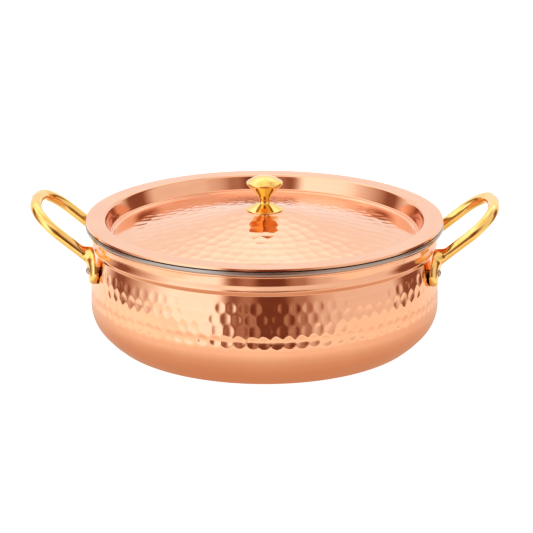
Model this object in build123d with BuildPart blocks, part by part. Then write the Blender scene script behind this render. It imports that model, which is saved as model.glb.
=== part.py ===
"""Handi: a low copper cooking pot with a steel lining, a dished copper lid and brass fittings."""

import os
from math import asin, cos, degrees, radians, sin, sqrt

from build123d import *

os.makedirs("parts", exist_ok=True)

# Pot wall, as spun from the flat base outwards and up to the neck. Angles are turns of the wall.
belly_radius = 147.5
knuckle_radius = 10.0
heel_radius = 67.0
heel_angle = 12.5
side_radius = 28.6
side_angle = 39.5
shoulder_radius = 270.0
shoulder_angle = 10.3
neck_height = 6.4

# Raised bead under the neck
bead_radius = 4.2
bead_angle = 60.0
bead_crease = 0.8

# Sheet thicknesses
copper_thickness = 1.2
steel_thickness = 1.0
lid_copper_thickness = 1.0
lid_steel_thickness = 0.8

# Rim: the copper lip is folded back on itself, and the steel is folded under over it
lip_bend = 1.4
lip_reach = 3.9
lining_bend = 20.0
rim_bend = 0.3
rim_land = 1.6
rim_fall_angle = 28.0
rim_fall_run = 3.65
rim_fold_width = 2.2
rim_overhang = 1.1
rim_skirt = 4.7

# Lid, from the knob's seat outwards
lid_setback = 0.7
lid_hem = 1.0
lid_edge_round = 0.5
seat_radius = 16.0
crown_bend = 40.0
panel_angle = 10.9
panel_flare = 90.0
panel_end_angle = 3.0
ledge_angle = 45.0
ledge_rise_run = 0.6
ledge_bend = 2.4
ledge_foot_bend = 0.8
ledge_run = 0.6
wall_foot_bend = 1.2
wall_angle = 72.0
wall_run = 10.9
flange_bend = 2.4

# Knob, a turned brass piece
knob_flange_radius = 15.7
knob_flange_edge = 0.7
knob_flange_height = 6.3
knob_stem_radius = 4.5
knob_waist_round = 2.0
knob_throat_height = 12.5
knob_throat_round = 9.5
knob_cap_radius = 15.4
knob_cap_underside = 21.4
knob_cap_edge = 1.6
knob_cap_edge_round = 0.6
knob_cap_rise = 6.4

# Knob screw, from under the lid
screw_radius = 2.5
screw_grip = 11.0
screw_head_radius = 4.6
screw_head_height = 2.6
screw_head_round = 0.8
screw_slot_width = 1.2
screw_slot_depth = 1.1
knob_washer_radius = 7.0
washer_thickness = 1.0

# Handles: a round cast bar bent to a loop, with a leaf-shaped foot at each end
bar_radius = 5.0
grip_angle = 39.4
grip_reach = 63.0
grip_half_width = 39.8
grip_bow = 4.5
grip_corner = 28.0
grip_end_radius = 90.0
foot_spacing = 89.6
foot_height = 29.0
foot_width = 20.0
foot_thickness = 5.8
foot_round = 4.2
foot_lean_angle = 25.0
bar_depth = 2.6
bar_bend = 8.0
bar_bend_rise = 8.4
bar_bend_inset = 6.0
bar_start_share = 0.4

# Rivets, one through each foot
rivet_radius = 2.5
rivet_height = 68.2
rivet_drop = 3.0
rivet_head_radius = 3.1
rivet_head_height = 1.9
rivet_boss_radius = 5.0
rivet_inner_head_radius = 4.2
rivet_inner_head_height = 1.6
rivet_washer_radius = 6.5

# Clearances
lining_gap = 0.2
lid_lining_gap = 0.1
lid_play = 4.9
foot_gap = 0.05
rivet_gap = 0.05
screw_gap = 0.05
screw_hole_gap = 0.2


def bend(radius, turn):
    """A round bend of a sheet's path; a positive turn is to the left."""
    return (radius, turn)


def heading_vector(heading):
    return Vector(cos(radians(heading)), sin(radians(heading)))


def walk(start, heading, steps, inset=0.0):
    """Where a path of straight runs and tangent bends ends, `inset` to the left of it."""
    point = Vector(*start) + heading_vector(heading + 90) * inset
    for step in steps:
        if isinstance(step, tuple):
            radius, turn = step
            side = 1 if turn > 0 else -1
            to_centre = heading_vector(heading + 90 * side) * (radius - side * inset)
            heading += turn
            point = point + to_centre - heading_vector(heading + 90 * side) * (radius - side * inset)
        else:
            point = point + heading_vector(heading) * step
    return point, heading


def trace(start, heading, steps, inset=0.0):
    """Draw that path, and give its end."""
    point = Vector(*start) + heading_vector(heading + 90) * inset
    for step in steps:
        if isinstance(step, tuple):
            radius, turn = step
            side = 1 if turn > 0 else -1
            edge = JernArc(point, heading_vector(heading), radius - side * inset, turn)
            heading += turn
        else:
            edge = Line(point, point + heading_vector(heading) * step)
        point = edge @ 1
    return point


# The pot's path starts on the axis, at the outer face of the base, which stands on z = 0
base_radius = (
    belly_radius
    - side_radius * (1 - cos(radians(side_angle)))
    - heel_radius * (cos(radians(side_angle)) - cos(radians(side_angle + heel_angle)))
    - knuckle_radius * cos(radians(side_angle + heel_angle))
)
bowl_steps = [
    base_radius,
    bend(knuckle_radius, 90 - side_angle - heel_angle),
    bend(heel_radius, heel_angle),
    bend(side_radius, side_angle),
    bend(shoulder_radius, shoulder_angle),
]
bead_steps = [
    bend(bead_crease, -shoulder_angle - bead_angle),
    bend(bead_radius, 2 * bead_angle),
    bend(bead_crease, -bead_angle),
]
shell_steps = bowl_steps + bead_steps + [neck_height]
neck_end, _ = walk((0, 0), 0, shell_steps)
neck_radius = neck_end.X

# The copper lip's top, which carries the steel rim
lip_top = neck_end.Y + lip_bend + 2 * copper_thickness
lip_radius = neck_radius + lip_bend + lip_reach + copper_thickness
rim_radius = lip_radius + rim_overhang

# The lining has no bead: it bends straight into its own neck
lining_outer = copper_thickness + lining_gap
lining_inner = lining_outer + steel_thickness
lining_bowl_steps = bowl_steps + [bend(lining_bend, -shoulder_angle)]
lining_neck_start, _ = walk((0, 0), 0, lining_bowl_steps, lining_inner)
mouth_radius = lining_neck_start.X
rim_steps = [
    bend(rim_bend - lining_outer, -90),
    rim_land,
    bend(rim_bend - lining_outer, -rim_fall_angle),
    rim_fall_run,
    bend(rim_bend + lining_inner, rim_fall_angle),
]
rim_rise_end, _ = walk((0, 0), 90, rim_steps, lining_inner)
rim_rise_start, _ = walk((0, 0), 90, [], lining_inner)
rim_profile_rise = rim_rise_end.Y - rim_rise_start.Y
rim_profile_reach = rim_rise_end.X - rim_rise_start.X
rim_flat_run = rim_radius - steel_thickness - mouth_radius - rim_profile_reach
rim_flat_top = lip_top + 2 * steel_thickness
lining_neck_run = rim_flat_top - rim_profile_rise - lining_neck_start.Y
lining_seam_steps = lining_bowl_steps + [lining_neck_run - rim_skirt]
rim_seam, _ = walk((0, 0), 0, lining_seam_steps)
rim_land_end, _ = walk(rim_seam, 90, [rim_skirt] + rim_steps[:2], lining_inner)
rim_top = rim_land_end.Y

# Lid heights: its steel underside lies on the rim's land
lid_under = lid_copper_thickness + lid_lining_gap + lid_steel_thickness
lid_top = rim_top + lid_under
lid_radius = rim_radius - lid_setback
wall_outer_radius = mouth_radius - lid_play


def lid_path(panel_run):
    """The lid's top face, from the axis to where the flange begins."""
    return [
        seat_radius,
        bend(crown_bend, -panel_angle),
        panel_run,
        bend(panel_flare, panel_angle - panel_end_angle),
        bend(ledge_foot_bend, panel_end_angle + ledge_angle),
        ledge_rise_run,
        bend(ledge_bend, -ledge_angle),
        ledge_run,
        bend(wall_foot_bend, wall_angle),
        wall_run,
        bend(flange_bend, -wall_angle),
    ]


# The panel is as long as brings the top of the lid's wall, on its outer side, to the play it has
wall_end, _ = walk((0, 0), 0, lid_path(0.0)[:-1], -lid_under)
panel_run = (wall_outer_radius - wall_end.X) / cos(radians(panel_angle))
lid_steps = lid_path(panel_run)
flange_start, _ = walk((0, 0), 0, lid_steps)
seat_height = lid_top - flange_start.Y
lid_start = (0, seat_height)
lid_flange_run = lid_radius - lid_edge_round - flange_start.X


def wall_distance(height, inset=0.0):
    """How far the shoulder's face, `inset` inside the outer one, is from the axis at a height."""
    arc_centre = belly_radius - shoulder_radius
    return arc_centre + sqrt((shoulder_radius - inset) ** 2 - (height - belly_height) ** 2)


# Foot and rivet places: the back of a foot just clears the wall at the foot's lower end
belly_height = walk((0, 0), 0, bowl_steps[:4])[0].Y
foot_angle = degrees(asin(foot_spacing / 2 / belly_radius))
foot_middle = rivet_height + rivet_drop * cos(radians(foot_lean_angle))
foot_back = wall_distance(foot_middle - foot_height / 2) + foot_gap
foot_face = foot_back + foot_thickness
lining_face = wall_distance(rivet_height, lining_inner)
foot_angles = {
    "right_front": -foot_angle,
    "right_back": foot_angle,
    "left_front": 180 + foot_angle,
    "left_back": 180 - foot_angle,
}


def outward(angle):
    return Vector(cos(radians(angle)), sin(radians(angle)), 0)


def facing_plane(angle, height, distance):
    """A plane that faces outwards from the pot's axis, with its own Y upwards."""
    origin = outward(angle) * distance + Vector(0, 0, height)
    return Plane(origin=origin, x_dir=Vector(0, 0, 1).cross(outward(angle)), z_dir=outward(angle))


def section_plane(angle, height):
    """The upright plane through the pot's axis, with its own X outwards and its Y up."""
    normal = outward(angle).cross(Vector(0, 0, 1))
    return Plane(origin=(0, 0, height), x_dir=outward(angle), z_dir=normal)


def pin(angle, radius, start, end, mode=Mode.ADD):
    """A round bar on a rivet's line, from one distance from the pot's axis to another."""
    with BuildSketch(facing_plane(angle, rivet_height, start)) as end_face:
        Circle(radius)
    extrude(end_face.sketch, amount=end - start, mode=mode)


def bowl_of(inset):
    """The whole space inside the bowl's face at an inset."""
    with BuildPart() as bowl:
        with BuildSketch(Plane.XZ):
            with BuildLine():
                top = trace((0, 0), 0, bowl_steps, inset)
                Polyline(top, (0, top.Y), (0, inset))
            make_face()
        revolve(axis=Axis.Z)
    return bowl.part


pot_bowl = bowl_of(0.0)
lining_bowl = bowl_of(lining_inner)
washer_bowl = bowl_of(lining_inner + washer_thickness)

# Copper shell: the sheet's outer face and folded lip, then its inner face
with BuildPart() as outer_shell:
    with BuildSketch(Plane.XZ):
        with BuildLine():
            neck = trace((0, 0), 0, shell_steps)
            lip = trace(neck, 90, [bend(lip_bend, -90), lip_reach, bend(copper_thickness, 180)])
            inner_neck = trace((0, 0), 0, shell_steps, copper_thickness)
            Polyline(lip, (inner_neck.X, lip.Y), inner_neck)
            Line((0, 0), (0, copper_thickness))
        make_face()
    revolve(axis=Axis.Z)
    for angle in foot_angles.values():
        pin(angle, rivet_radius + rivet_gap, mouth_radius / 2, foot_back, Mode.SUBTRACT)
outer_shell.part.label = "outer_shell"
export_step(outer_shell.part, "parts/outer_shell.step")

# Steel lining: a bowl with a straight neck, up to the seam under the rim
with BuildPart() as inner_liner:
    with BuildSketch(Plane.XZ):
        with BuildLine():
            lining_top = trace((0, 0), 0, lining_seam_steps, lining_inner)
            lining_back = trace((0, 0), 0, lining_seam_steps, lining_outer)
            Line(lining_top, lining_back)
            Line((0, lining_inner), (0, lining_outer))
        make_face()
    revolve(axis=Axis.Z)
    for angle in foot_angles.values():
        pin(angle, rivet_radius + rivet_gap, mouth_radius / 2, foot_back, Mode.SUBTRACT)
inner_liner.part.label = "inner_liner"
export_step(inner_liner.part, "parts/inner_liner.step")

# Steel rim: its skirt carries on from the lining, and its edge is folded under over the copper lip
with BuildPart() as steel_rim:
    with BuildSketch(Plane.XZ):
        with BuildLine():
            rim_edge = trace(rim_seam, 90, [rim_skirt] + rim_steps + [rim_flat_run], lining_inner)
            fold = trace(rim_edge, 0, [bend(steel_thickness, -180), rim_fold_width])
            under_steps = [rim_skirt] + rim_steps + [rim_flat_run - rim_fold_width]
            under = trace(rim_seam, 90, under_steps, lining_outer)
            Line(fold, under)
            Line(lining_top, lining_back)
        make_face()
    revolve(axis=Axis.Z)
steel_rim.part.label = "steel_rim"
export_step(steel_rim.part, "parts/steel_rim.step")

# Right handle: the bar rises out of one foot, goes out and round the grip, and down into the other
grip_line = Vector(cos(radians(grip_angle)), 0, sin(radians(grip_angle)))
bar_plane = facing_plane(foot_angle, rivet_height, foot_back + bar_depth)
bar_knee = bar_plane.from_local_coords((-bar_bend_inset, bar_bend_rise, 0))
bar_start = bar_plane.origin + (bar_knee - bar_plane.origin) * bar_start_share
grip_root = Vector(bar_knee.X, 0, bar_knee.Z)
half_path = [
    bar_start,
    bar_knee,
    grip_root + grip_line * (grip_reach - grip_bow) + Vector(0, grip_half_width, 0),
]
other_half = [Vector(point.X, -point.Y, point.Z) for point in reversed(half_path)]
bar_points = half_path + [grip_root + grip_line * grip_reach] + other_half
bar_bends = [bar_bend, grip_corner, grip_end_radius, grip_corner, bar_bend]

with BuildPart() as handle_right:
    for side in (1, -1):
        angle = side * foot_angle
        lean = side * foot_lean_angle
        with BuildSketch(facing_plane(angle, rivet_height, foot_back - foot_round)):
            with Locations((-rivet_drop * sin(radians(lean)), rivet_drop * cos(radians(lean)))):
                Ellipse(foot_width / 2, foot_height / 2, rotation=lean)
        extrude(amount=foot_thickness + foot_round)
        foot_front = faces(Select.LAST).sort_by(Axis((0, 0, 0), outward(angle)))[-1]
        fillet(foot_front.edges(), foot_round)
    with BuildLine() as bar_path:
        FilletPolyline(*bar_points, radius=bar_bends)
    with BuildSketch(Plane(origin=bar_path.line @ 0, z_dir=bar_path.line % 0)):
        Circle(bar_radius)
    sweep()
    with BuildSketch():
        Circle(foot_back)
    extrude(amount=foot_middle + foot_height, mode=Mode.SUBTRACT)
    for angle in (foot_angle, -foot_angle):
        pin(angle, rivet_boss_radius, mouth_radius, foot_back + foot_round)
    add(pot_bowl, mode=Mode.SUBTRACT)
    for angle in (foot_angle, -foot_angle):
        pin(angle, rivet_radius + rivet_gap, mouth_radius, foot_face + foot_round, Mode.SUBTRACT)
handle_right.part.label = "handle_right"
export_step(handle_right.part, "parts/handle_right.step")

# Left handle, the same casting turned round
with BuildPart() as handle_left:
    add(handle_right.part)
    mirror(about=Plane.YZ, mode=Mode.REPLACE)
handle_left.part.label = "handle_left"
export_step(handle_left.part, "parts/handle_left.step")

# Rivets, each with a round head on the foot and a flat one on a washer inside the pot
for name, angle in foot_angles.items():
    axle = Axis((0, 0, rivet_height), outward(angle))
    head_start = lining_face - washer_thickness - rivet_inner_head_height
    with BuildPart() as rivet:
        with BuildSketch(section_plane(angle, rivet_height)):
            with BuildLine():
                Polyline(
                    (foot_back, 0),
                    (head_start, 0),
                    (head_start, rivet_radius),
                    (head_start + rivet_inner_head_height / 2, rivet_inner_head_radius),
                    (foot_back, rivet_inner_head_radius),
                    (foot_back, 0),
                )
            make_face()
        revolve(axis=axle)
        add(washer_bowl, mode=Mode.INTERSECT)
        with BuildSketch(section_plane(angle, rivet_height)):
            with BuildLine():
                Polyline(
                    (foot_face + rivet_head_height, 0),
                    (head_start + rivet_inner_head_height / 2, 0),
                    (head_start + rivet_inner_head_height / 2, rivet_radius),
                    (foot_face, rivet_radius),
                    (foot_face, rivet_head_radius),
                )
                dome = (rivet_head_radius**2 + rivet_head_height**2) / 2 / rivet_head_height
                JernArc(
                    (foot_face + rivet_head_height, 0), (0, 1), dome, degrees(asin(rivet_head_radius / dome))
                )
            make_face()
        revolve(axis=axle)
    rivet.part.label = "rivet_" + name
    export_step(rivet.part, "parts/rivet_" + name + ".step")

    with BuildPart() as rivet_washer:
        pin(angle, rivet_washer_radius, mouth_radius / 2, foot_back)
        add(lining_bowl, mode=Mode.INTERSECT)
        add(washer_bowl, mode=Mode.SUBTRACT)
        pin(angle, rivet_radius + rivet_gap, mouth_radius / 2, foot_back, Mode.SUBTRACT)
    rivet_washer.part.label = "rivet_washer_" + name
    export_step(rivet_washer.part, "parts/rivet_washer_" + name + ".step")

# Lid sheet: the top face to the rounded edge and its short hem, then the under face
with BuildPart() as lid_shell:
    with BuildSketch(Plane.XZ):
        with BuildLine():
            flange_edge = trace(lid_start, 0, lid_steps + [lid_flange_run])
            hem_run = lid_under - lid_edge_round
            hem_end = trace(flange_edge, 0, [bend(lid_edge_round, -90), hem_run])
            under_run = lid_flange_run + lid_edge_round - lid_hem
            under_edge = trace(lid_start, 0, lid_steps + [under_run], -lid_copper_thickness)
            Polyline(hem_end, (under_edge.X, hem_end.Y), under_edge)
            Line(lid_start, (0, seat_height - lid_copper_thickness))
        make_face()
    revolve(axis=Axis.Z)
    with BuildSketch(Plane.XY.offset(seat_height)):
        Circle(screw_radius + screw_hole_gap)
    extrude(amount=-lid_under, mode=Mode.SUBTRACT)
lid_shell.part.label = "lid_shell"
export_step(lid_shell.part, "parts/lid_shell.step")

# Lid lining, inside the hem
with BuildPart() as lid_liner:
    with BuildSketch(Plane.XZ):
        with BuildLine():
            liner_top = lid_copper_thickness + lid_lining_gap
            liner_run = lid_flange_run + lid_edge_round - lid_hem - lid_lining_gap
            top_edge = trace(lid_start, 0, lid_steps + [liner_run], -liner_top)
            bottom_edge = trace(lid_start, 0, lid_steps + [liner_run], -lid_under)
            Line(top_edge, bottom_edge)
            Line((0, seat_height - liner_top), (0, seat_height - lid_under))
        make_face()
    revolve(axis=Axis.Z)
    with BuildSketch(Plane.XY.offset(seat_height)):
        Circle(screw_radius + screw_hole_gap)
    extrude(amount=-lid_under - lid_steel_thickness, mode=Mode.SUBTRACT)
lid_liner.part.label = "lid_liner"
export_step(lid_liner.part, "parts/lid_liner.step")

# Knob: flange, waist, flaring throat and domed cap, with a blind hole for the screw
cap_edge_top = knob_cap_underside + knob_cap_edge
knob_top = cap_edge_top + knob_cap_rise
cap_dome = (knob_cap_radius**2 + knob_cap_rise**2) / 2 / knob_cap_rise
with BuildPart() as knob:
    with BuildSketch(section_plane(0, seat_height)):
        with BuildLine():
            Polyline(
                (0, knob_top),
                (0, 0),
                (knob_flange_radius, 0),
                (knob_flange_radius, knob_flange_edge),
                (knob_stem_radius, knob_flange_height),
                (knob_stem_radius, knob_throat_height),
                (knob_cap_radius, knob_cap_underside),
                (knob_cap_radius, cap_edge_top),
            )
            JernArc((0, knob_top), (1, 0), cap_dome, -degrees(asin(knob_cap_radius / cap_dome)))
        make_face()
        waist_corners = vertices().filter_by_position(Axis.X, knob_stem_radius, knob_stem_radius)
        fillet(waist_corners.sort_by(Axis.Y)[0], knob_waist_round)
        throat = vertices().filter_by_position(Axis.Y, knob_throat_height, knob_throat_height)
        fillet(throat, knob_throat_round)
        cap_corners = vertices().filter_by_position(Axis.X, knob_cap_radius, knob_cap_radius)
        fillet(cap_corners, knob_cap_edge_round)
    revolve(axis=Axis.Z)
    with BuildSketch(Plane.XY.offset(seat_height)):
        Circle(screw_radius + screw_gap)
    extrude(amount=screw_grip + screw_gap, mode=Mode.SUBTRACT)
knob.part.label = "knob"
export_step(knob.part, "parts/knob.step")

# Washer under the lid and the screw that holds the knob
washer_height = seat_height - lid_under - washer_thickness
with BuildPart() as knob_washer:
    with BuildSketch(Plane.XY.offset(washer_height)):
        Circle(knob_washer_radius)
        Circle(screw_radius + screw_hole_gap, mode=Mode.SUBTRACT)
    extrude(amount=washer_thickness)
knob_washer.part.label = "knob_washer"
export_step(knob_washer.part, "parts/knob_washer.step")

with BuildPart() as knob_screw:
    with BuildSketch(Plane.XY.offset(washer_height - screw_head_height)):
        Circle(screw_head_radius)
    extrude(amount=screw_head_height)
    fillet(edges().sort_by(Axis.Z)[0], screw_head_round)
    with BuildSketch(Plane.XY.offset(washer_height)):
        Circle(screw_radius)
    extrude(amount=seat_height + screw_grip - washer_height)
    with BuildSketch(Plane.XY.offset(washer_height - screw_head_height)):
        Rectangle(2 * screw_head_radius, screw_slot_width)
    extrude(amount=screw_slot_depth, mode=Mode.SUBTRACT)
knob_screw.part.label = "knob_screw"
export_step(knob_screw.part, "parts/knob_screw.step")
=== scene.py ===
"""Looks of a copper handi: hammered and spun copper, cast brass handles, a turned knob and a steel lining."""

import random
from math import cos, pi, radians, sin, sqrt, tan

import bmesh
import bpy
import numpy as np
from mathutils import Matrix, Vector


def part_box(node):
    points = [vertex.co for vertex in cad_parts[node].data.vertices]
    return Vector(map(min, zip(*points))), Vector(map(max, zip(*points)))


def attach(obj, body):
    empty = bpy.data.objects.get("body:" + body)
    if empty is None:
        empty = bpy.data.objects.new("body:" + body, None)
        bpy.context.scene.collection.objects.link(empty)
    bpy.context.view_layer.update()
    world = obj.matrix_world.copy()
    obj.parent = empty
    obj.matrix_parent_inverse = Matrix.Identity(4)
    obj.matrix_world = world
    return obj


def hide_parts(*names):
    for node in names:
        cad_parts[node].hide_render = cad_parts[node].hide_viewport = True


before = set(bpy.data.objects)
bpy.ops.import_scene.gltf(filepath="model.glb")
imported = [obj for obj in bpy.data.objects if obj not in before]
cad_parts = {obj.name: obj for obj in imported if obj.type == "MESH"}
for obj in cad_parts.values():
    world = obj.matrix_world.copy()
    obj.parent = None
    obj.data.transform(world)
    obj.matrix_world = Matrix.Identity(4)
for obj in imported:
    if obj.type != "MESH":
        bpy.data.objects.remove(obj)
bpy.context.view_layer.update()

MM = 0.001

# Pot wall, from the flat base outwards and up to the neck
BELLY_RADIUS = 147.5 * MM
KNUCKLE_RADIUS = 10.0 * MM
HEEL_RADIUS = 67.0 * MM
HEEL_TURN = 12.5
SIDE_RADIUS = 28.6 * MM
SIDE_TURN = 39.5
SHOULDER_RADIUS = 270.0 * MM
SHOULDER_TURN = 10.3
BEAD_CREASE = 0.8 * MM
BEAD_LEAN = 32.0
BEAD_FLANK = 3.606 * MM
BEAD_CREST = 1.6 * MM
NECK_HEIGHT = 6.4 * MM
LIP_BEND = 1.4 * MM
LIP_REACH = 3.9 * MM
COPPER_THICKNESS = 1.2 * MM
SHELL_STEPS = 828
HIDDEN_SPACING = 30.0 * MM

# Steel rim, from its seam in the neck over the lip
RIM_MOUTH_RADIUS = 140.427 * MM
RIM_SHEET = 1.0 * MM
RIM_CROWN = 4.2 * MM
RIM_SLOPE = 3.0 * MM
RIM_EDGE = 3.2 * MM
RIM_ROUNDS = (1.6 * MM, 1.2 * MM, 1.2 * MM, 0.9 * MM, 0.6 * MM, 0.2 * MM, 0.2 * MM)
RIM_STEPS = 480

# Lid, from the knob's seat outwards
LID_THICKNESS = 1.0 * MM
LID_UNDER = 1.9 * MM
LID_HEM = 1.0 * MM
LID_EDGE_ROUND = 0.5 * MM
SEAT_RADIUS = 16.0 * MM
SCREW_HOLE = 2.7 * MM
CROWN_BEND = 40.0 * MM
PANEL_SLOPE = 10.9
PANEL_RUN = 91.663 * MM
PANEL_FLARE = 90.0 * MM
PANEL_END_SLOPE = 3.0
LEDGE_RISE = 45.0
LEDGE_RISE_RUN = 0.6 * MM
LEDGE_BEND = 2.4 * MM
LEDGE_FOOT_BEND = 0.8 * MM
LEDGE_RUN = 0.6 * MM
WALL_FOOT_BEND = 1.2 * MM
WALL_SLOPE = 72.0
WALL_RUN = 10.9 * MM
FLANGE_BEND = 2.4 * MM
LID_STEPS = 600

# Hammer marks on the wall: for each ring its height, depth, reach up and down and reach aside, all in
# millimetres, and the angle of one blow from the front, in degrees
DENT_ROWS = (
    (69.3, 0.30, 4.8, 4.2, -8.8),
    (60.1, 0.30, 5.6, 4.3, -10.7),
    (51.0, 0.29, 6.2, 4.3, -9.2),
    (42.3, 0.52, 4.9, 5.0, -10.2),
    (31.8, 0.05, 4.6, 4.8, -8.4),
)
DENTS_AROUND = 92
DENTED_FROM = 24.0 * MM
DENTED_TO = 79.0 * MM
WALL_MATCH = 0.6 * MM

# Dimples on the lid's cone
DIMPLE_PITCH = 11.0 * MM
DIMPLE_REACH = 6.6 * MM
DIMPLE_DEPTH = 0.34 * MM
DIMPLE_INNER_RING = 24.0 * MM
DIMPLE_OUTER_RING = 113.0 * MM
DIMPLE_RING_STEP = 0.92
DIMPLE_RING_TURN = 0.37
PANEL_RADIUS = 126.0 * MM
PANEL_MATCH = 9.0 * MM

# Handles: a leaf-shaped foot leans on the wall, and the bar grows out of its upper end
FOOT_BACK = 146.302 * MM
FOOT_ANGLE = radians(17.682)
FOOT_LEAN = radians(25.0)
FOOT_HALF_HEIGHT = 14.4 * MM
FOOT_HALF_WIDTH = 9.9 * MM
FOOT_THICKNESS = 5.75 * MM
FOOT_MIDDLE = (-1.27 * MM, 2.72 * MM)
RIVET_HEIGHT = 68.2 * MM
BAR_DEPTH = 2.6 * MM
BAR_KNEE = (-6.0 * MM, 8.4 * MM)
BAR_BEND = 8.0 * MM
BAR_RADIUS_AT_FOOT = 4.5 * MM
BAR_RADIUS_AT_TIP = 4.9 * MM
LEAF_DEPTH = 0.9 * MM
LEAF_BEND = 20.0 * MM
LEAF_DRIFT = 0.4
FOOT_NOSE = 3.0 * MM
WEB_REACH = 9.5 * MM
WEB_ABOVE_KNEE = 2.5 * MM
WEB_LENGTH = 10.0 * MM
GRIP_RISE = radians(39.4)
GRIP_REACH = 62.8 * MM
GRIP_HALF_WIDTH = 39.8 * MM
GRIP_BOW = 4.5 * MM
GRIP_CORNER = 28.0 * MM
GRIP_END_RADIUS = 90.0 * MM

# Knob, from its base upwards
KNOB_FLANGE_RADIUS = 15.6 * MM
KNOB_FLANGE_EDGE = 0.7 * MM
KNOB_FLANGE_HEIGHT = 6.3 * MM
KNOB_STEM_RADIUS = 4.5 * MM
KNOB_WAIST_ROUND = 2.0 * MM
KNOB_THROAT_HEIGHT = 10.6 * MM
KNOB_THROAT_ROUND = 9.5 * MM
KNOB_CAP_RADIUS = 15.3 * MM
KNOB_CAP_UNDERSIDE = 22.2 * MM
KNOB_CAP_EDGE = 1.6 * MM
KNOB_CAP_ROUND = 0.7 * MM
KNOB_CAP_RISE = 5.55 * MM
KNOB_CAP_SHOULDER = 0.72

# Camera, as fitted to the photograph
IMAGE_SIDE = 533
CAMERA_DISTANCE = 1600 * MM
CAMERA_ELEVATION = radians(16.012)
CAMERA_AZIMUTH = radians(1.4)
CAMERA_FOCAL_PIXELS = 1896.8
CAMERA_ASIDE = 1.63 * MM
CAMERA_BELOW_LID = 45.2 * MM
LID_TOP = 103.57 * MM
SENSOR_WIDTH = 36.0


# Drawing helpers


def heading_vector(heading):
    return Vector((cos(radians(heading)), sin(radians(heading))))


def outline(start, heading, steps, inset=0.0, spacing=2.5 * MM, arc_step=9.0):
    """Points of straight runs and tangent bends, `inset` to the path's left. A bend is (radius, turn)."""
    point = Vector(start) + heading_vector(heading + 90) * inset
    points = [point.copy()]
    for step in steps:
        if isinstance(step, tuple):
            radius, turn = step
            side = 1 if turn > 0 else -1
            reach = radius - side * inset
            pieces = max(1, round(abs(turn) / arc_step), round(abs(radians(turn)) * reach / spacing))
            centre = point + heading_vector(heading + 90 * side) * reach
            for piece in range(1, pieces + 1):
                turned_to = heading + turn * piece / pieces
                points.append(centre - heading_vector(turned_to + 90 * side) * reach)
            heading += turn
        else:
            pieces = max(1, round(step / spacing))
            for piece in range(1, pieces + 1):
                points.append(point + heading_vector(heading) * (step * piece / pieces))
        point = points[-1].copy()
    return points


def rounded(corners, rounds, spacing):
    """A route through corners, in the plane or in space, each inner corner rounded by its own radius."""
    points = [corners[0].copy()]
    for before, corner, after, radius in zip(corners, corners[1:], corners[2:], rounds):
        to_before = (before - corner).normalized()
        to_after = (after - corner).normalized()
        half = to_before.angle(to_after) / 2
        reach = radius / tan(half)
        centre = corner + (to_before + to_after).normalized() * (radius / sin(half))
        first = corner + to_before * reach
        last = corner + to_after * reach
        run = first - points[-1]
        pieces = max(1, round(run.length / spacing))
        start = points[-1].copy()
        points += [start + run * (piece / pieces) for piece in range(1, pieces + 1)]
        sweep = pi - 2 * half
        pieces = max(2, round(sweep * radius / spacing))
        from_centre = (first - centre).normalized()
        across = (last - centre) - from_centre * (last - centre).dot(from_centre)
        across.normalize()
        for piece in range(1, pieces + 1):
            turned_to = sweep * piece / pieces
            points.append(centre + (from_centre * cos(turned_to) + across * sin(turned_to)) * radius)
    run = corners[-1] - points[-1]
    start = points[-1].copy()
    pieces = max(1, round(run.length / spacing))
    points += [start + run * (piece / pieces) for piece in range(1, pieces + 1)]
    return points


def begin(name):
    """Names the primitive that was just added, and opens it for editing with all of it selected."""
    piece = bpy.context.object
    piece.name = name
    piece.data.name = name
    bpy.ops.object.mode_set(mode="EDIT")
    bpy.ops.mesh.select_all(action="SELECT")
    return piece


def turned(name, points, steps):
    """A lathe piece: one corner is drawn along the outline, spun a quarter round and copied to the rest."""
    bpy.ops.object.select_all(action="DESELECT")
    bpy.ops.mesh.primitive_plane_add(size=MM)
    piece = begin(name)
    bpy.ops.mesh.merge(type="CENTER")
    bpy.ops.transform.translate(value=(points[0].x, 0, points[0].y))
    for here, there in zip(points, points[1:]):
        step = there - here
        bpy.ops.mesh.extrude_region_move(TRANSFORM_OT_translate={"value": (step.x, 0, step.y)})
    bpy.ops.mesh.select_all(action="SELECT")
    bpy.ops.mesh.spin(steps=steps // 4, angle=pi / 2, center=(0, 0, 0), axis=(0, 0, 1))
    for quarters in (1, 2):
        bpy.ops.mesh.select_all(action="SELECT")
        bpy.ops.mesh.duplicate()
        bpy.ops.transform.rotate(value=quarters * pi / 2, orient_axis="Z", center_override=(0, 0, 0))
    finish_mesh(piece)
    return piece


def move_selected(piece, matrix):
    mesh = bmesh.from_edit_mesh(piece.data)
    bmesh.ops.transform(mesh, matrix=matrix, verts=[corner for corner in mesh.verts if corner.select])
    bmesh.update_edit_mesh(piece.data)


def lofted(name, placements, around):
    """A tube extruded ring by ring, each ring a unit circle put in its place."""
    bpy.ops.object.select_all(action="DESELECT")
    bpy.ops.mesh.primitive_circle_add(vertices=around, radius=1.0, fill_type="NGON")
    piece = begin(name)
    move_selected(piece, placements[0])
    for earlier, later in zip(placements, placements[1:]):
        bpy.ops.mesh.extrude_region_move()
        move_selected(piece, later @ earlier.inverted())
    return piece


def finish_mesh(piece):
    """Closes seams and poles, turns the faces outwards and leaves edit mode."""
    bpy.ops.mesh.select_all(action="SELECT")
    bpy.ops.mesh.remove_doubles(threshold=0.002 * MM)
    bpy.ops.mesh.normals_make_consistent(inside=False)
    bpy.ops.object.mode_set(mode="OBJECT")


def smooth(piece, sharp_angle=40.0):
    bpy.ops.object.select_all(action="DESELECT")
    piece.select_set(True)
    bpy.context.view_layer.objects.active = piece
    bpy.ops.object.shade_smooth_by_angle(angle=radians(sharp_angle))


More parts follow.
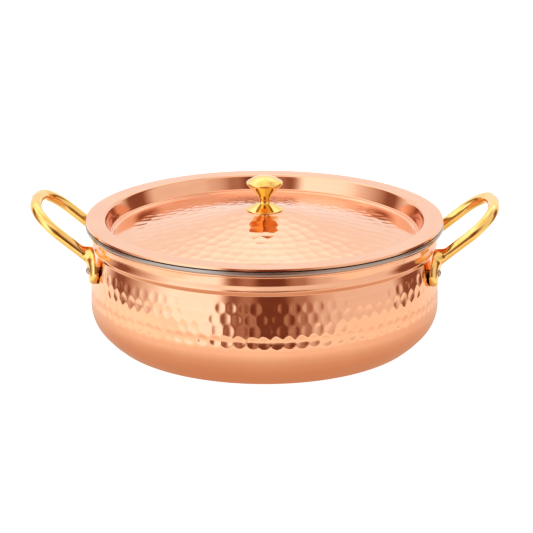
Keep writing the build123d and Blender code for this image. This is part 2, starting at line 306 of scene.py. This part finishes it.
def corners_of(piece):
    places = np.empty(len(piece.data.vertices) * 3)
    piece.data.vertices.foreach_get("co", places)
    return places.reshape(-1, 3)


def put_corners(piece, places):
    piece.data.vertices.foreach_set("co", places.ravel())
    piece.data.update()


# Hammer marks: each blow leaves a shallow bowl, and where two meet the deeper one holds


def blow_depth(angles, heights, row, around, phase, width, height, depth, seed):
    """
    How deep one ring of blows goes at each place, given by its angle and its distance along the sheet.
    The ring lies at `row` along the sheet, and one of its `around` blows is at the angle `phase`.
    """
    chance = random.Random(seed)
    pitch = 2 * pi / around
    shift = np.array([chance.uniform(-0.10, 0.10) * pitch for _ in range(around)])
    lift = np.array([chance.uniform(-0.12, 0.12) * height for _ in range(around)])
    size = np.array([chance.uniform(0.90, 1.08) for _ in range(around)])
    force = np.array([chance.uniform(0.75, 1.15) for _ in range(around)])
    nearest = np.floor((angles - phase) / pitch + 0.5).astype(int)
    deepest = np.zeros(len(angles))
    for neighbour in (-1, 0, 1):
        blow = (nearest + neighbour) % around
        aside = angles - phase - (nearest + neighbour) * pitch - shift[blow]
        along = heights - row - lift[blow]
        span = (aside / (width * size[blow])) ** 2 + (along / (height * size[blow])) ** 2
        deepest = np.maximum(deepest, depth * force[blow] * np.clip(1 - span, 0, None))
    return deepest


def hammer_wall(piece):
    """Five rings of blows round the wall, the lowest faint."""
    places = corners_of(piece)
    radii = np.hypot(places[:, 0], places[:, 1])
    angles = np.arctan2(places[:, 1], places[:, 0])
    rise = places[:, 2] - belly_height
    wall = BELLY_RADIUS - SHOULDER_RADIUS + np.sqrt(SHOULDER_RADIUS**2 - rise**2)
    on_face = (np.abs(radii - wall) < WALL_MATCH) & (places[:, 2] > DENTED_FROM) & (places[:, 2] < DENTED_TO)
    depth = np.zeros(len(places))
    for ring, (height, strength, reach, aside, first) in enumerate(DENT_ROWS):
        ring_depth = blow_depth(
            angles, places[:, 2], height * MM, DENTS_AROUND, radians(first - 90), aside * MM / BELLY_RADIUS,
            reach * MM, strength * MM, seed=41 + ring,
        )
        depth = np.maximum(depth, ring_depth)
    depth = np.where(on_face, depth, 0)
    places[:, 0] -= np.cos(angles) * depth
    places[:, 1] -= np.sin(angles) * depth
    put_corners(piece, places)


def dimple_panel(piece, seat_height):
    """Rings of shallow dimples on the lid's cone."""
    places = corners_of(piece)
    radii = np.hypot(places[:, 0], places[:, 1])
    angles = np.arctan2(places[:, 1], places[:, 0])
    cone = seat_height - (radii - 20 * MM) * tan(radians(PANEL_SLOPE))
    on_face = (radii < PANEL_RADIUS) & (radii > SEAT_RADIUS) & (np.abs(places[:, 2] - cone) < PANEL_MATCH)
    on_face &= looks_up(piece)
    depth = np.zeros(len(places))
    ring = DIMPLE_INNER_RING
    seed = 5
    while ring < DIMPLE_OUTER_RING:
        around = round(2 * pi * ring / DIMPLE_PITCH)
        ring_depth = blow_depth(
            angles, radii, ring, around, seed * DIMPLE_RING_TURN, DIMPLE_REACH / ring, DIMPLE_REACH,
            DIMPLE_DEPTH, seed,
        )
        depth = np.maximum(depth, ring_depth)
        ring += DIMPLE_PITCH * DIMPLE_RING_STEP
        seed += 1
    places[:, 2] -= np.where(on_face, depth, 0)
    put_corners(piece, places)


def looks_up(piece):
    """True at each corner whose normal looks up."""
    normals = np.empty(len(piece.data.vertices) * 3)
    piece.data.vertices.foreach_get("normal", normals)
    return normals.reshape(-1, 3)[:, 2] > 0.5


# Copper shell and the steel rim on its lip

base_radius = (
    BELLY_RADIUS
    - SIDE_RADIUS * (1 - cos(radians(SIDE_TURN)))
    - HEEL_RADIUS * (cos(radians(SIDE_TURN)) - cos(radians(SIDE_TURN + HEEL_TURN)))
    - KNUCKLE_RADIUS * cos(radians(SIDE_TURN + HEEL_TURN))
)
bowl = [
    base_radius,
    (KNUCKLE_RADIUS, 90 - SIDE_TURN - HEEL_TURN),
    (HEEL_RADIUS, HEEL_TURN),
    (SIDE_RADIUS, SIDE_TURN),
]
belly_height = outline((0, 0), 0, bowl)[-1].y
shoulder = [(SHOULDER_RADIUS, SHOULDER_TURN)]
bead_and_neck = [
    (BEAD_CREASE, -SHOULDER_TURN - BEAD_LEAN),
    BEAD_FLANK,
    (BEAD_CREST, 2 * BEAD_LEAN),
    BEAD_FLANK,
    (BEAD_CREASE, -BEAD_LEAN),
    NECK_HEIGHT,
]


def make_shell():
    base = outline((0, 0), 0, bowl, spacing=12 * MM, arc_step=6)
    wall = outline(base[-1], 90, shoulder, spacing=1.2 * MM)
    heading = 90 + SHOULDER_TURN
    neck = outline(wall[-1], heading, bead_and_neck, spacing=2.4 * MM, arc_step=12)
    lip = outline(neck[-1], 90, [(LIP_BEND, -90), LIP_REACH, (COPPER_THICKNESS, 180)], arc_step=22)
    whole = bowl + shoulder + bead_and_neck
    inner = outline((0, 0), 0, whole, COPPER_THICKNESS, spacing=HIDDEN_SPACING, arc_step=30)
    mouth = [Vector((inner[-1].x, lip[-1].y))]
    profile = base + wall[1:] + neck[1:] + lip[1:] + mouth + inner[::-1]
    shell = turned("copper_shell", profile, SHELL_STEPS)
    hammer_wall(shell)
    smooth(shell)
    return shell


def make_rim():
    """The lining's rim: up inside the neck, over the top that the lid rests on, and out to a folded edge."""
    low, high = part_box("steel_rim")
    lip_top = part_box("outer_shell")[1].z
    mouth = RIM_MOUTH_RADIUS
    corners = [
        Vector((mouth, low.z)),
        Vector((mouth, high.z)),
        Vector((mouth + RIM_CROWN, high.z)),
        Vector((mouth + RIM_CROWN + RIM_SLOPE, lip_top + RIM_EDGE)),
        Vector((high.x, lip_top + RIM_EDGE)),
        Vector((high.x, lip_top)),
        Vector((mouth + RIM_SHEET, lip_top)),
        Vector((mouth + RIM_SHEET, low.z)),
        Vector((mouth, low.z)),
    ]
    rim = turned("steel_rim_band", rounded(corners, RIM_ROUNDS, 0.8 * MM), RIM_STEPS)
    smooth(rim)
    return rim


# Lid

seat_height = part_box("knob")[0].z
lid_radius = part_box("lid_shell")[1].x
lid_path = [
    (CROWN_BEND, -PANEL_SLOPE),
    PANEL_RUN,
    (PANEL_FLARE, PANEL_SLOPE - PANEL_END_SLOPE),
    (LEDGE_FOOT_BEND, PANEL_END_SLOPE + LEDGE_RISE),
    LEDGE_RISE_RUN,
    (LEDGE_BEND, -LEDGE_RISE),
    LEDGE_RUN,
    (WALL_FOOT_BEND, WALL_SLOPE),
    WALL_RUN,
    (FLANGE_BEND, -WALL_SLOPE),
]


def make_lid():
    seat = (SCREW_HOLE, seat_height)
    seat_run = SEAT_RADIUS - SCREW_HOLE
    plain = outline(seat, 0, [seat_run] + lid_path)
    flange_run = lid_radius - LID_EDGE_ROUND - plain[-1].x
    steps = [seat_run] + lid_path + [flange_run]
    top = outline(seat, 0, steps, spacing=1.6 * MM, arc_step=12)
    edge = outline(top[-1], 0, [(LID_EDGE_ROUND, -90), LID_UNDER - LID_EDGE_ROUND], arc_step=20)
    under_steps = steps[:-1] + [flange_run + LID_EDGE_ROUND - LID_HEM]
    under = outline(seat, 0, under_steps, -LID_THICKNESS, spacing=HIDDEN_SPACING, arc_step=30)
    hem = [Vector((under[-1].x, edge[-1].y))]
    lid = turned("copper_lid", top + edge[1:] + hem + under[::-1] + [top[0]], LID_STEPS)
    dimple_panel(lid, seat_height)
    smooth(lid)
    return lid


# Knob


def make_knob():
    """Flange, stem and cap as one outline; the cap's top is a shallow dome."""
    cap_edge_top = KNOB_CAP_UNDERSIDE + KNOB_CAP_EDGE
    dome = (KNOB_CAP_RADIUS**2 + KNOB_CAP_RISE**2) / 2 / KNOB_CAP_RISE

    def on_dome(radius):
        return Vector((radius, cap_edge_top + sqrt(dome**2 - radius**2) - sqrt(dome**2 - KNOB_CAP_RADIUS**2)))

    corners = [
        Vector((0, 0)),
        Vector((KNOB_FLANGE_RADIUS, 0)),
        Vector((KNOB_FLANGE_RADIUS, KNOB_FLANGE_EDGE)),
        Vector((KNOB_STEM_RADIUS, KNOB_FLANGE_HEIGHT)),
        Vector((KNOB_STEM_RADIUS, KNOB_THROAT_HEIGHT)),
        Vector((KNOB_CAP_RADIUS, KNOB_CAP_UNDERSIDE)),
        Vector((KNOB_CAP_RADIUS, cap_edge_top)),
        on_dome(KNOB_CAP_RADIUS * KNOB_CAP_SHOULDER),
    ]
    rounds = [0.2 * MM, 0.3 * MM, KNOB_WAIST_ROUND, KNOB_THROAT_ROUND, KNOB_CAP_ROUND, KNOB_CAP_ROUND]
    profile = rounded(corners, rounds, 0.8 * MM)
    dome_start = profile[-1].x
    profile += [on_dome(dome_start * (1 - part / 12)) for part in range(1, 13)]
    placed = [Vector((point.x, point.y + seat_height)) for point in profile]
    knob = turned("brass_knob", placed, 128)
    smooth(knob, 60)
    return knob


# Handles


def outward(angle):
    return Vector((cos(angle), sin(angle), 0))


def make_handle():
    """The right handle: half of it, from the back foot to the middle of the grip, and its mirror image."""
    foot_out = outward(FOOT_ANGLE)
    aside = Vector((0, 0, 1)).cross(foot_out)
    rivet = foot_out * FOOT_BACK + Vector((0, 0, RIVET_HEIGHT))

    def on_foot(place, depth):
        return rivet + aside * place[0] + Vector((0, 0, place[1])) + foot_out * depth

    toe = (
        FOOT_MIDDLE[0] + sin(FOOT_LEAN) * FOOT_HALF_HEIGHT,
        FOOT_MIDDLE[1] - cos(FOOT_LEAN) * FOOT_HALF_HEIGHT,
    )
    knee = on_foot(BAR_KNEE, BAR_DEPTH)
    grip_line = Vector((cos(GRIP_RISE), 0, sin(GRIP_RISE)))
    grip_root = Vector((knee.x, 0, knee.z))
    grip_corner = grip_root + grip_line * (GRIP_REACH - GRIP_BOW)
    tip = grip_root + grip_line * GRIP_REACH
    corners = [
        on_foot(toe, LEAF_DEPTH),
        on_foot(FOOT_MIDDLE, LEAF_DEPTH),
        knee,
        grip_corner + Vector((0, GRIP_HALF_WIDTH, 0)),
        tip,
        grip_corner - Vector((0, GRIP_HALF_WIDTH, 0)),
    ]
    route = rounded(corners, [LEAF_BEND, BAR_BEND, GRIP_CORNER, GRIP_END_RADIUS], 1.2 * MM)
    route = [point for point in route if point.y > 0.4 * MM]
    route.append(Vector(((route[-1].x + tip.x) / 2, 0, (route[-1].z + tip.z) / 2)))
    route.insert(1, route[0].lerp(route[1], 0.3))
    lengths = [0.0]
    for here, there in zip(route, route[1:]):
        lengths.append(lengths[-1] + (there - here).length)
    knee_length = FOOT_HALF_HEIGHT + (knee - corners[1]).length
    placements = []
    side = (route[1] - route[0]).cross(foot_out)
    for index, (point, length) in enumerate(zip(route, lengths)):
        if index == 0:
            tangent = (route[1] - route[0]).normalized()
        elif index == len(route) - 1:
            tangent = Vector((0, -1, 0))
        else:
            tangent = (route[index + 1] - route[index - 1]).normalized()
        side = (side - tangent * side.dot(tangent)).normalized()
        front = side.cross(tangent)
        bar = BAR_RADIUS_AT_FOOT + (BAR_RADIUS_AT_TIP - BAR_RADIUS_AT_FOOT) * length / lengths[-1]
        from_middle = (length - FOOT_HALF_HEIGHT) / (FOOT_HALF_HEIGHT + 0.1 * MM)
        leaf = FOOT_HALF_WIDTH * sqrt(max(0.0, 1 - from_middle**2))
        half_width = leaf if from_middle < 0 else (leaf**4 + bar**4) ** 0.25
        becoming_bar = min(1.0, max(0.0, (length - knee_length) / BAR_BEND + 0.5))
        drift = (point - rivet).dot(foot_out) - LEAF_DEPTH
        leaf_front = FOOT_THICKNESS - LEAF_DEPTH - drift * LEAF_DRIFT
        ahead = leaf_front * (1 - becoming_bar) + bar * becoming_bar
        nose = min(1.0, (length + 0.2 * MM) / FOOT_NOSE)
        ahead *= sqrt(1 - (1 - nose) ** 2)
        web = (1 + cos(pi * min(1.0, abs(length - knee_length - WEB_ABOVE_KNEE) / WEB_LENGTH))) / 2
        behind = bar + (WEB_REACH - bar) * web
        centre = point + front * (ahead - behind) / 2
        placement = Matrix.Identity(4)
        for row in range(3):
            placement[row][0] = side[row] * half_width
            placement[row][1] = front[row] * (ahead + behind) / 2
            placement[row][2] = tangent[row]
            placement[row][3] = centre[row]
        placements.append(placement)
    handle = lofted("brass_handle_right", placements, 48)
    mesh = bmesh.from_edit_mesh(handle.data)
    last_face = [face for face in mesh.faces if all(corner.co.y < 0.1 * MM for corner in face.verts)]
    bmesh.ops.delete(mesh, geom=last_face, context="FACES_ONLY")
    bmesh.update_edit_mesh(handle.data)
    bpy.ops.mesh.select_all(action="SELECT")
    bpy.ops.mesh.bisect(plane_co=foot_out * FOOT_BACK, plane_no=-foot_out, clear_outer=True, use_fill=True)
    bpy.ops.object.mode_set(mode="OBJECT")
    mirror = handle.modifiers.new("other_half", "MIRROR")
    mirror.use_axis = (False, True, False)
    mirror.merge_threshold = 0.02 * MM
    bpy.ops.object.modifier_apply(modifier=mirror.name)
    bpy.ops.object.mode_set(mode="EDIT")
    finish_mesh(handle)
    smooth(handle, 50)
    return handle


def other_side(piece, name):
    """The same casting, mirrored to the left."""
    bpy.ops.object.select_all(action="DESELECT")
    copy = piece.copy()
    copy.data = piece.data.copy()
    copy.name = name
    copy.data.name = name
    bpy.context.scene.collection.objects.link(copy)
    copy.data.transform(Matrix.Scale(-1, 4, (1, 0, 0)))
    copy.data.flip_normals()
    return copy


# Materials


class Value:
    """A number that varies over a surface: arithmetic on it adds Math nodes."""

    def __init__(self, tree, socket):
        self.tree = tree
        self.socket = socket

    def math(self, operation, *others):
        node = self.tree.node("ShaderNodeMath", {"operation": operation}, dict(enumerate((self,) + others)))
        return Value(self.tree, node.outputs[0])

    def __add__(self, other):
        return self.math("ADD", other)

    __radd__ = __add__

    def __mul__(self, other):
        return self.math("MULTIPLY", other)

    __rmul__ = __mul__

    def __sub__(self, other):
        return self.math("SUBTRACT", other)

    def __rsub__(self, other):
        return self * -1 + other

    def __truediv__(self, other):
        return self.math("DIVIDE", other)

    def __pow__(self, other):
        return self.math("POWER", other)

    def root(self):
        return self.math("SQRT")


class Tree:
    """The nodes of a material or of the world."""

    def __init__(self, owner):
        owner.use_nodes = True
        self.nodes = owner.node_tree.nodes
        self.links = owner.node_tree.links

    def node(self, kind, settings, sockets):
        node = self.nodes.new(kind)
        for name, value in settings.items():
            setattr(node, name, value)
        self.feed(node, sockets)
        return node

    def feed(self, node, sockets):
        for name, value in sockets.items():
            if isinstance(value, Value):
                self.links.new(value.socket, node.inputs[name])
            else:
                node.inputs[name].default_value = value

    def place(self, kind="Object"):
        """Coordinates of one kind as three values."""
        where = self.node("ShaderNodeTexCoord", {}, {})
        split = self.node("ShaderNodeSeparateXYZ", {}, {"Vector": Value(self, where.outputs[kind])})
        return [Value(self, split.outputs[axis]) for axis in range(3)]

    def point(self, x, y, z):
        joined = self.node("ShaderNodeCombineXYZ", {}, {"X": x, "Y": y, "Z": z})
        return Value(self, joined.outputs[0])

    def noise(self, where, scale, detail=2.0, roughness=0.5):
        sockets = {"Vector": where, "Scale": scale, "Detail": detail, "Roughness": roughness}
        texture = self.node("ShaderNodeTexNoise", {}, sockets)
        return Value(self, texture.outputs[0])

    def ramp(self, value, low, high, start=0.0, end=1.0):
        sockets = {0: value, 1: low, 2: high, 3: start, 4: end}
        node = self.node("ShaderNodeMapRange", {"clamp": True}, sockets)
        return Value(self, node.outputs[0])

    def mix(self, factor, first, second):
        node = self.node("ShaderNodeMix", {"data_type": "RGBA"}, {0: factor, 6: first, 7: second})
        return Value(self, node.outputs[2])

    def bump(self, height, distance, strength=1.0):
        node = self.node("ShaderNodeBump", {}, {"Height": height, "Distance": distance, "Strength": strength})
        return Value(self, node.outputs[0])


class Finish(Tree):
    """A material with its shader."""

    def __init__(self, name):
        self.material = bpy.data.materials.new(name)
        super().__init__(self.material)
        self.shader = self.nodes["Principled BSDF"]

    def surface(self, **sockets):
        self.feed(self.shader, {name.replace("_", " "): value for name, value in sockets.items()})


def lathe_lines(finish):
    """Where a point is along a turned sheet, and noise drawn out round the axis at three widths."""
    x, y, z = finish.place()
    radius = (x * x + y * y).root() + 0.0001
    along = radius + z
    around_x = x / radius
    around_y = y / radius
    fine = finish.noise(finish.point(around_x * 0.004, around_y * 0.004, along), 2600, 2)
    broad = finish.noise(finish.point(around_x * 0.006, around_y * 0.006, along), 420, 3)
    cloud = finish.noise(finish.point(x, y, z), 16, 3, 0.6)
    return fine, broad, cloud


def copper_finish(name, rough, line_depth):
    finish = Finish(name)
    fine, broad, cloud = lathe_lines(finish)
    tint = finish.ramp(cloud * 0.65 + broad * 0.35, 0.35, 0.68)
    colour = finish.mix(tint, (0.930, 0.465, 0.275, 1), (0.965, 0.530, 0.325, 1))
    finish.surface(
        Base_Color=colour,
        Metallic=1.0,
        Roughness=finish.ramp(broad, 0.3, 0.7, rough * 0.8, rough * 1.2),
        Normal=finish.bump(fine * 0.7 + broad * 0.3, line_depth),
    )
    return finish.material


def brass_finish():
    finish = Finish("polished_brass")
    x, y, z = finish.place()
    cloud = finish.noise(finish.point(x, y, z), 60, 3, 0.55)
    grain = finish.noise(finish.point(x, y, z), 900, 2)
    colour = finish.mix(finish.ramp(cloud, 0.35, 0.65), (0.91, 0.55, 0.13, 1), (0.96, 0.66, 0.24, 1))
    finish.surface(
        Base_Color=colour,
        Metallic=1.0,
        Roughness=finish.ramp(cloud, 0.3, 0.7, 0.07, 0.13),
        Normal=finish.bump(cloud * 0.8 + grain * 0.2, 0.00012),
    )
    return finish.material


def steel_finish():
    finish = Finish("brushed_steel")
    fine, broad, cloud = lathe_lines(finish)
    # Painted shade: the steel's colour is darker and browner than bare steel, standing in for the shade under
    # the lid's edge and the copper's painted reflection on the rim
    colour = finish.mix(finish.ramp(broad, 0.3, 0.7), (0.37, 0.30, 0.26, 1), (0.48, 0.39, 0.34, 1))
    finish.surface(
        Base_Color=colour,
        Metallic=1.0,
        Roughness=finish.ramp(fine, 0.3, 0.7, 0.22, 0.36),
        Normal=finish.bump(fine, 0.00002),
    )
    return finish.material


def rivet_finish():
    finish = Finish("dull_rivet")
    x, y, z = finish.place()
    cloud = finish.noise(finish.point(x, y, z), 420, 3)
    colour = finish.mix(finish.ramp(cloud, 0.35, 0.65), (0.38, 0.27, 0.20, 1), (0.62, 0.50, 0.42, 1))
    finish.surface(
        Base_Color=colour,
        Metallic=1.0,
        Roughness=finish.ramp(cloud, 0.3, 0.7, 0.28, 0.42),
        Normal=finish.bump(cloud, 0.00006),
    )
    return finish.material


def dress(piece, material):
    piece.data.materials.clear()
    piece.data.materials.append(material)


# Studio


def studio_floor():
    """White paper for the eye, and a card over it that only the metal sees: it glows as a lit table would,
    with a painted shadow and painted warm bounce light close to the pot.
    """
    bpy.ops.object.select_all(action="DESELECT")
    bpy.ops.mesh.primitive_plane_add(size=12.0, location=(0, 0, -0.3 * MM))
    floor = bpy.context.object
    floor.name = "floor"
    bpy.ops.object.transform_apply(location=True)
    paper = Finish("white_paper")
    paper.surface(Base_Color=(0.4, 0.4, 0.4, 1), Roughness=0.9, Specular_IOR_Level=0.0)
    paper.surface(Emission_Color=(1, 1, 1, 1), Emission_Strength=0.95)
    dress(floor, paper.material)
    floor.visible_glossy = False
    bpy.ops.mesh.primitive_plane_add(size=1.0, location=(0, 0.09, -0.1 * MM))
    card = bpy.context.object
    card.name = "table_card"
    card.scale = (0.80, 0.79, 1)
    bpy.ops.object.transform_apply(location=True, scale=True)
    glow = Finish("table_card_glow")
    x, y, z = glow.place()
    # Painted shadow: the card's glow turns dim and warm near the pot, standing in for the pot's shadow and
    # the copper's bounce light on the table
    past_painted_shadow = glow.ramp((x * x + y * y).root(), 0.12, 0.28)
    open_table = glow.mix(glow.ramp(x, -0.2, 0.2), (1.25, 1.22, 1.12, 1), (1.15, 1.06, 0.96, 1))
    colour = glow.mix(past_painted_shadow, (0.60, 0.32, 0.18, 1), open_table)
    glow.surface(Base_Color=(0, 0, 0, 1), Roughness=1.0, Specular_IOR_Level=0.0)
    glow.surface(Emission_Color=colour, Emission_Strength=1.0)
    dress(card, glow.material)
    card.visible_camera = False
    card.visible_diffuse = False
    card.visible_shadow = False


def studio_surroundings():
    """A room of soft lights with dark gaps between them; what little comes out of a gap is warm."""
    world = bpy.data.worlds.new("studio")
    bpy.context.scene.world = world
    room = Tree(world)
    x, y, z = room.place("Generated")
    around = x.math("ARCTAN2", y * -1) * (180 / pi)

    def gap(start, dark_from, dark_to, end, level):
        """Full light outside `start` and `end`, and only `level` between the two angles inside them."""
        falling = room.ramp(around, start, dark_from, 1.0, level)
        rising = room.ramp(around, dark_to, end, level, 1.0)
        return falling.math("MAXIMUM", rising)

    def up_to(low, high, start=0.0, end=1.0):
        """From `start` at the elevation `low` to `end` at `high`, both in degrees."""
        return room.ramp(z, sin(radians(low)), sin(radians(high)), start, end)

    behind = room.ramp(around.math("ABSOLUTE"), 124, 150)
    boxes = room.ramp(around, 30, 44, 1.50, 0.86) * room.ramp(around, -74, -60, 0.80, 1.0)
    boxes = boxes * (1 - behind) + behind * 1.05
    front = gap(-30, -20, 28, 48, 0.18) * gap(-27, -22, -17, -12, 0.5) * gap(-8, -2, 14, 21, 0.22)
    walls = boxes * front * gap(-129, -112, -103, -69, 0.10) * gap(93, 104, 121, 131, 0.12)
    ceiling = room.ramp(around, -50, -20, 1.3, 0.92) * (1 - behind) + behind * 1.5
    high = up_to(28, 42)
    light = walls * (1 - high) + high * ceiling * up_to(50, 75, 1.0, 0.62)
    tinted = room.node("ShaderNodeCombineColor", {}, {0: light**0.6, 1: light, 2: light**1.2})
    room.feed(room.nodes["Background"], {"Color": Value(room, tinted.outputs[0]), "Strength": 1.0})


def studio_light():
    lamp = bpy.data.lights.new("overhead_soft_light", "AREA")
    lamp.shape = "RECTANGLE"
    lamp.size = 2.4
    lamp.size_y = 2.0
    lamp.energy = 5
    light = bpy.data.objects.new("overhead_soft_light", lamp)
    light.location = (-0.3, -0.2, 1.6)
    light.rotation_euler = (Vector((0, 0, 0.08)) - light.location).to_track_quat("-Z", "Y").to_euler()
    bpy.context.scene.collection.objects.link(light)


def photograph_camera():
    data = bpy.data.cameras.new("camera")
    data.sensor_width = SENSOR_WIDTH
    data.lens = CAMERA_FOCAL_PIXELS * SENSOR_WIDTH / IMAGE_SIDE
    data.clip_end = 50
    camera = bpy.data.objects.new("camera", data)
    right = Vector((cos(CAMERA_AZIMUTH), sin(CAMERA_AZIMUTH), 0))
    back = Vector((sin(CAMERA_AZIMUTH), -cos(CAMERA_AZIMUTH), 0))
    up = Vector((0, 0, 1))
    spot = (back * cos(CAMERA_ELEVATION) + up * sin(CAMERA_ELEVATION)) * CAMERA_DISTANCE + up * LID_TOP
    target = right * CAMERA_ASIDE + up * (LID_TOP - CAMERA_BELOW_LID)
    camera.location = spot
    camera.rotation_euler = (target - spot).to_track_quat("-Z", "Y").to_euler()
    bpy.context.scene.collection.objects.link(camera)
    bpy.context.scene.camera = camera


# The part

photograph_camera()
studio_floor()
studio_surroundings()
studio_light()
bpy.context.scene.view_settings.view_transform = "Standard"

hammered_copper = copper_finish("hammered_copper", 0.10, 0.000012)
spun_copper = copper_finish("spun_copper", 0.10, 0.000010)
brass = brass_finish()
steel = steel_finish()
dull_rivet = rivet_finish()

shell = make_shell()
dress(shell, hammered_copper)
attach(shell, "pot")
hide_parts("outer_shell")

rim = make_rim()
dress(rim, steel)
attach(rim, "pot")
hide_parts("steel_rim")

lid = make_lid()
dress(lid, spun_copper)
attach(lid, "lid")
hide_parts("lid_shell")

knob = make_knob()
dress(knob, brass)
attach(knob, "lid")
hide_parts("knob")

handle_right = make_handle()
dress(handle_right, brass)
handle_left = other_side(handle_right, "brass_handle_left")
for handle, node in ((handle_right, "handle_right"), (handle_left, "handle_left")):
    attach(handle, "pot")
    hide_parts(node)

for name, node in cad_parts.items():
    if name.startswith("rivet_") and "washer" not in name:
        dress(node, dull_rivet)
    elif name in ("inner_liner", "lid_liner", "knob_screw") or "washer" in name:
        dress(node, steel)
